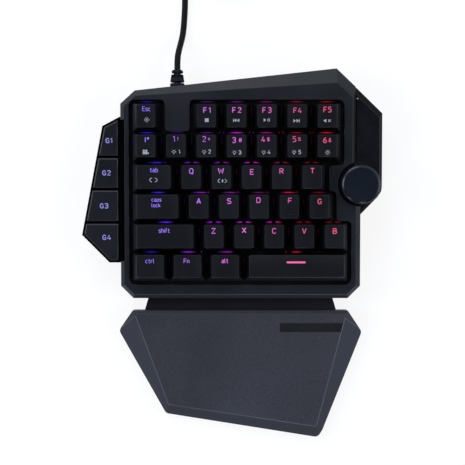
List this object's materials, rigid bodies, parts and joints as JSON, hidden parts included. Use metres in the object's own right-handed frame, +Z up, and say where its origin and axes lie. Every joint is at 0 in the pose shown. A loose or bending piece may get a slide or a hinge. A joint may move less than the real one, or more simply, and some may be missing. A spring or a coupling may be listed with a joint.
{
  "type": "one-handed gaming keypad",
  "caption": "Left-handed mechanical keypad with a stepped key block, side macro keys, a turning knob, a detachable wrist rest, a strain-relieved cord in a coil and a USB plug.",
  "frame": {"origin": "on the desk, under the middle of the keypad with its wrist rest, without the free cord", "axes": "+X to the right as the user sits, +Y to the rear where the cord leaves, +Z up from the desk; the deck is tilted 3.5 degrees about X and rises to the rear"},
  "size_m": [0.1918, 0.3537, 0.0363],
  "materials": {
    "keycap_plastic": "fine matte texture",
    "case_plastic": "satin",
    "black_plastic": "satin",
    "gloss_plastic": "polished",
    "knob_plastic": "satin",
    "rest_plastic": "sparkle-grained matte",
    "board_laminate": "solder mask",
    "steel": "plated",
    "rubber": "matte"
  },
  "bodies": {
    "case": {"top_case": "case_plastic", "bottom_case": "case_plastic", "switch_bank": "black_plastic", "circuit_board": "board_laminate", "macro_tray": "black_plastic", "side_trim": "gloss_plastic", "encoder_body": "steel", "encoder_nut": "steel", "foot_front_left": "rubber", "foot_front_right": "rubber", "foot_rear_left": "rubber", "foot_rear_right": "rubber", "strain_relief": "rubber", "cord": "rubber", "cord_coil": "rubber", "usb_plug": "rubber"},
    "knob": {"knob": "knob_plastic", "encoder_shaft": "steel"},
    "wrist_rest": {"wrist_rest_shell": "rest_plastic", "wrist_rest_base": "black_plastic", "wrist_rest_foot": "rubber"},
    "key_esc": {"key_esc": "keycap_plastic"},
    "key_f1": {"key_f1": "keycap_plastic"},
    "key_f2": {"key_f2": "keycap_plastic"},
    "key_f3": {"key_f3": "keycap_plastic"},
    "key_f4": {"key_f4": "keycap_plastic"},
    "key_f5": {"key_f5": "keycap_plastic"},
    "key_bar": {"key_bar": "keycap_plastic"},
    "key_1": {"key_1": "keycap_plastic"},
    "key_2": {"key_2": "keycap_plastic"},
    "key_3": {"key_3": "keycap_plastic"},
    "key_4": {"key_4": "keycap_plastic"},
    "key_5": {"key_5": "keycap_plastic"},
    "key_6": {"key_6": "keycap_plastic"},
    "key_tab": {"key_tab": "keycap_plastic"},
    "key_q": {"key_q": "keycap_plastic"},
    "key_w": {"key_w": "keycap_plastic"},
    "key_e": {"key_e": "keycap_plastic"},
    "key_r": {"key_r": "keycap_plastic"},
    "key_t": {"key_t": "keycap_plastic"},
    "key_caps": {"key_caps": "keycap_plastic"},
    "key_a": {"key_a": "keycap_plastic"},
    "key_s": {"key_s": "keycap_plastic"},
    "key_d": {"key_d": "keycap_plastic"},
    "key_f": {"key_f": "keycap_plastic"},
    "key_g": {"key_g": "keycap_plastic"},
    "key_shift": {"key_shift": "keycap_plastic"},
    "key_z": {"key_z": "keycap_plastic"},
    "key_x": {"key_x": "keycap_plastic"},
    "key_c": {"key_c": "keycap_plastic"},
    "key_v": {"key_v": "keycap_plastic"},
    "key_b": {"key_b": "keycap_plastic"},
    "key_ctrl": {"key_ctrl": "keycap_plastic"},
    "key_fn": {"key_fn": "keycap_plastic"},
    "key_alt": {"key_alt": "keycap_plastic"},
    "key_space": {"key_space": "keycap_plastic"},
    "macro_key_1": {"macro_key_1": "keycap_plastic"},
    "macro_key_2": {"macro_key_2": "keycap_plastic"},
    "macro_key_3": {"macro_key_3": "keycap_plastic"},
    "macro_key_4": {"macro_key_4": "keycap_plastic"}
  },
  "joints": [
    {"name": "knob_turn", "type": "hinge", "parent": "case", "child": "knob", "pos_m": [0.0814, 0.0443, 0.02471], "axis": [0, -0.061, 0.9981], "continuous": true},
    {"name": "wrist_rest_pull", "type": "slide", "parent": "case", "child": "wrist_rest", "axis": [0, -1, 0], "range_m": [0, 0.015]},
    {"name": "key_esc_press", "type": "slide", "parent": "case", "child": "key_esc", "axis": [0, 0.061, -0.9981], "range_m": [0, 0.0038], "stiffness_N_per_m": 160, "springref_m": -0.002},
    {"name": "key_f1_press", "type": "slide", "parent": "case", "child": "key_f1", "axis": [0, 0.061, -0.9981], "range_m": [0, 0.0038], "stiffness_N_per_m": 160, "springref_m": -0.002},
    {"name": "key_f2_press", "type": "slide", "parent": "case", "child": "key_f2", "axis": [0, 0.061, -0.9981], "range_m": [0, 0.0038], "stiffness_N_per_m": 160, "springref_m": -0.002},
    {"name": "key_f3_press", "type": "slide", "parent": "case", "child": "key_f3", "axis": [0, 0.061, -0.9981], "range_m": [0, 0.0038], "stiffness_N_per_m": 160, "springref_m": -0.002},
    {"name": "key_f4_press", "type": "slide", "parent": "case", "child": "key_f4", "axis": [0, 0.061, -0.9981], "range_m": [0, 0.0038], "stiffness_N_per_m": 160, "springref_m": -0.002},
    {"name": "key_f5_press", "type": "slide", "parent": "case", "child": "key_f5", "axis": [0, 0.061, -0.9981], "range_m": [0, 0.0038], "stiffness_N_per_m": 160, "springref_m": -0.002},
    {"name": "key_bar_press", "type": "slide", "parent": "case", "child": "key_bar", "axis": [0, 0.061, -0.9981], "range_m": [0, 0.0038], "stiffness_N_per_m": 160, "springref_m": -0.002},
    {"name": "key_1_press", "type": "slide", "parent": "case", "child": "key_1", "axis": [0, 0.061, -0.9981], "range_m": [0, 0.0038], "stiffness_N_per_m": 160, "springref_m": -0.002},
    {"name": "key_2_press", "type": "slide", "parent": "case", "child": "key_2", "axis": [0, 0.061, -0.9981], "range_m": [0, 0.0038], "stiffness_N_per_m": 160, "springref_m": -0.002},
    {"name": "key_3_press", "type": "slide", "parent": "case", "child": "key_3", "axis": [0, 0.061, -0.9981], "range_m": [0, 0.0038], "stiffness_N_per_m": 160, "springref_m": -0.002},
    {"name": "key_4_press", "type": "slide", "parent": "case", "child": "key_4", "axis": [0, 0.061, -0.9981], "range_m": [0, 0.0038], "stiffness_N_per_m": 160, "springref_m": -0.002},
    {"name": "key_5_press", "type": "slide", "parent": "case", "child": "key_5", "axis": [0, 0.061, -0.9981], "range_m": [0, 0.0038], "stiffness_N_per_m": 160, "springref_m": -0.002},
    {"name": "key_6_press", "type": "slide", "parent": "case", "child": "key_6", "axis": [0, 0.061, -0.9981], "range_m": [0, 0.0038], "stiffness_N_per_m": 160, "springref_m": -0.002},
    {"name": "key_tab_press", "type": "slide", "parent": "case", "child": "key_tab", "axis": [0, 0.061, -0.9981], "range_m": [0, 0.0038], "stiffness_N_per_m": 160, "springref_m": -0.002},
    {"name": "key_q_press", "type": "slide", "parent": "case", "child": "key_q", "axis": [0, 0.061, -0.9981], "range_m": [0, 0.0038], "stiffness_N_per_m": 160, "springref_m": -0.002},
    {"name": "key_w_press", "type": "slide", "parent": "case", "child": "key_w", "axis": [0, 0.061, -0.9981], "range_m": [0, 0.0038], "stiffness_N_per_m": 160, "springref_m": -0.002},
    {"name": "key_e_press", "type": "slide", "parent": "case", "child": "key_e", "axis": [0, 0.061, -0.9981], "range_m": [0, 0.0038], "stiffness_N_per_m": 160, "springref_m": -0.002},
    {"name": "key_r_press", "type": "slide", "parent": "case", "child": "key_r", "axis": [0, 0.061, -0.9981], "range_m": [0, 0.0038], "stiffness_N_per_m": 160, "springref_m": -0.002},
    {"name": "key_t_press", "type": "slide", "parent": "case", "child": "key_t", "axis": [0, 0.061, -0.9981], "range_m": [0, 0.0038], "stiffness_N_per_m": 160, "springref_m": -0.002},
    {"name": "key_caps_press", "type": "slide", "parent": "case", "child": "key_caps", "axis": [0, 0.061, -0.9981], "range_m": [0, 0.0038], "stiffness_N_per_m": 160, "springref_m": -0.002},
    {"name": "key_a_press", "type": "slide", "parent": "case", "child": "key_a", "axis": [0, 0.061, -0.9981], "range_m": [0, 0.0038], "stiffness_N_per_m": 160, "springref_m": -0.002},
    {"name": "key_s_press", "type": "slide", "parent": "case", "child": "key_s", "axis": [0, 0.061, -0.9981], "range_m": [0, 0.0038], "stiffness_N_per_m": 160, "springref_m": -0.002},
    {"name": "key_d_press", "type": "slide", "parent": "case", "child": "key_d", "axis": [0, 0.061, -0.9981], "range_m": [0, 0.0038], "stiffness_N_per_m": 160, "springref_m": -0.002},
    {"name": "key_f_press", "type": "slide", "parent": "case", "child": "key_f", "axis": [0, 0.061, -0.9981], "range_m": [0, 0.0038], "stiffness_N_per_m": 160, "springref_m": -0.002},
    {"name": "key_g_press", "type": "slide", "parent": "case", "child": "key_g", "axis": [0, 0.061, -0.9981], "range_m": [0, 0.0038], "stiffness_N_per_m": 160, "springref_m": -0.002},
    {"name": "key_shift_press", "type": "slide", "parent": "case", "child": "key_shift", "axis": [0, 0.061, -0.9981], "range_m": [0, 0.0038], "stiffness_N_per_m": 160, "springref_m": -0.002},
    {"name": "key_z_press", "type": "slide", "parent": "case", "child": "key_z", "axis": [0, 0.061, -0.9981], "range_m": [0, 0.0038], "stiffness_N_per_m": 160, "springref_m": -0.002},
    {"name": "key_x_press", "type": "slide", "parent": "case", "child": "key_x", "axis": [0, 0.061, -0.9981], "range_m": [0, 0.0038], "stiffness_N_per_m": 160, "springref_m": -0.002},
    {"name": "key_c_press", "type": "slide", "parent": "case", "child": "key_c", "axis": [0, 0.061, -0.9981], "range_m": [0, 0.0038], "stiffness_N_per_m": 160, "springref_m": -0.002},
    {"name": "key_v_press", "type": "slide", "parent": "case", "child": "key_v", "axis": [0, 0.061, -0.9981], "range_m": [0, 0.0038], "stiffness_N_per_m": 160, "springref_m": -0.002},
    {"name": "key_b_press", "type": "slide", "parent": "case", "child": "key_b", "axis": [0, 0.061, -0.9981], "range_m": [0, 0.0038], "stiffness_N_per_m": 160, "springref_m": -0.002},
    {"name": "key_ctrl_press", "type": "slide", "parent": "case", "child": "key_ctrl", "axis": [0, 0.061, -0.9981], "range_m": [0, 0.0038], "stiffness_N_per_m": 160, "springref_m": -0.002},
    {"name": "key_fn_press", "type": "slide", "parent": "case", "child": "key_fn", "axis": [0, 0.061, -0.9981], "range_m": [0, 0.0038], "stiffness_N_per_m": 160, "springref_m": -0.002},
    {"name": "key_alt_press", "type": "slide", "parent": "case", "child": "key_alt", "axis": [0, 0.061, -0.9981], "range_m": [0, 0.0038], "stiffness_N_per_m": 160, "springref_m": -0.002},
    {"name": "key_space_press", "type": "slide", "parent": "case", "child": "key_space", "axis": [0, 0.061, -0.9981], "range_m": [0, 0.0038], "stiffness_N_per_m": 200, "springref_m": -0.002},
    {"name": "macro_key_1_press", "type": "slide", "parent": "case", "child": "macro_key_1", "axis": [0, 0.061, -0.9981], "range_m": [0, 0.0012], "stiffness_N_per_m": 500, "springref_m": -0.0012},
    {"name": "macro_key_2_press", "type": "slide", "parent": "case", "child": "macro_key_2", "axis": [0, 0.061, -0.9981], "range_m": [0, 0.0012], "stiffness_N_per_m": 500, "springref_m": -0.0012},
    {"name": "macro_key_3_press", "type": "slide", "parent": "case", "child": "macro_key_3", "axis": [0, 0.061, -0.9981], "range_m": [0, 0.0012], "stiffness_N_per_m": 500, "springref_m": -0.0012},
    {"name": "macro_key_4_press", "type": "slide", "parent": "case", "child": "macro_key_4", "axis": [0, 0.061, -0.9981], "range_m": [0, 0.0012], "stiffness_N_per_m": 500, "springref_m": -0.0012}
  ]
}
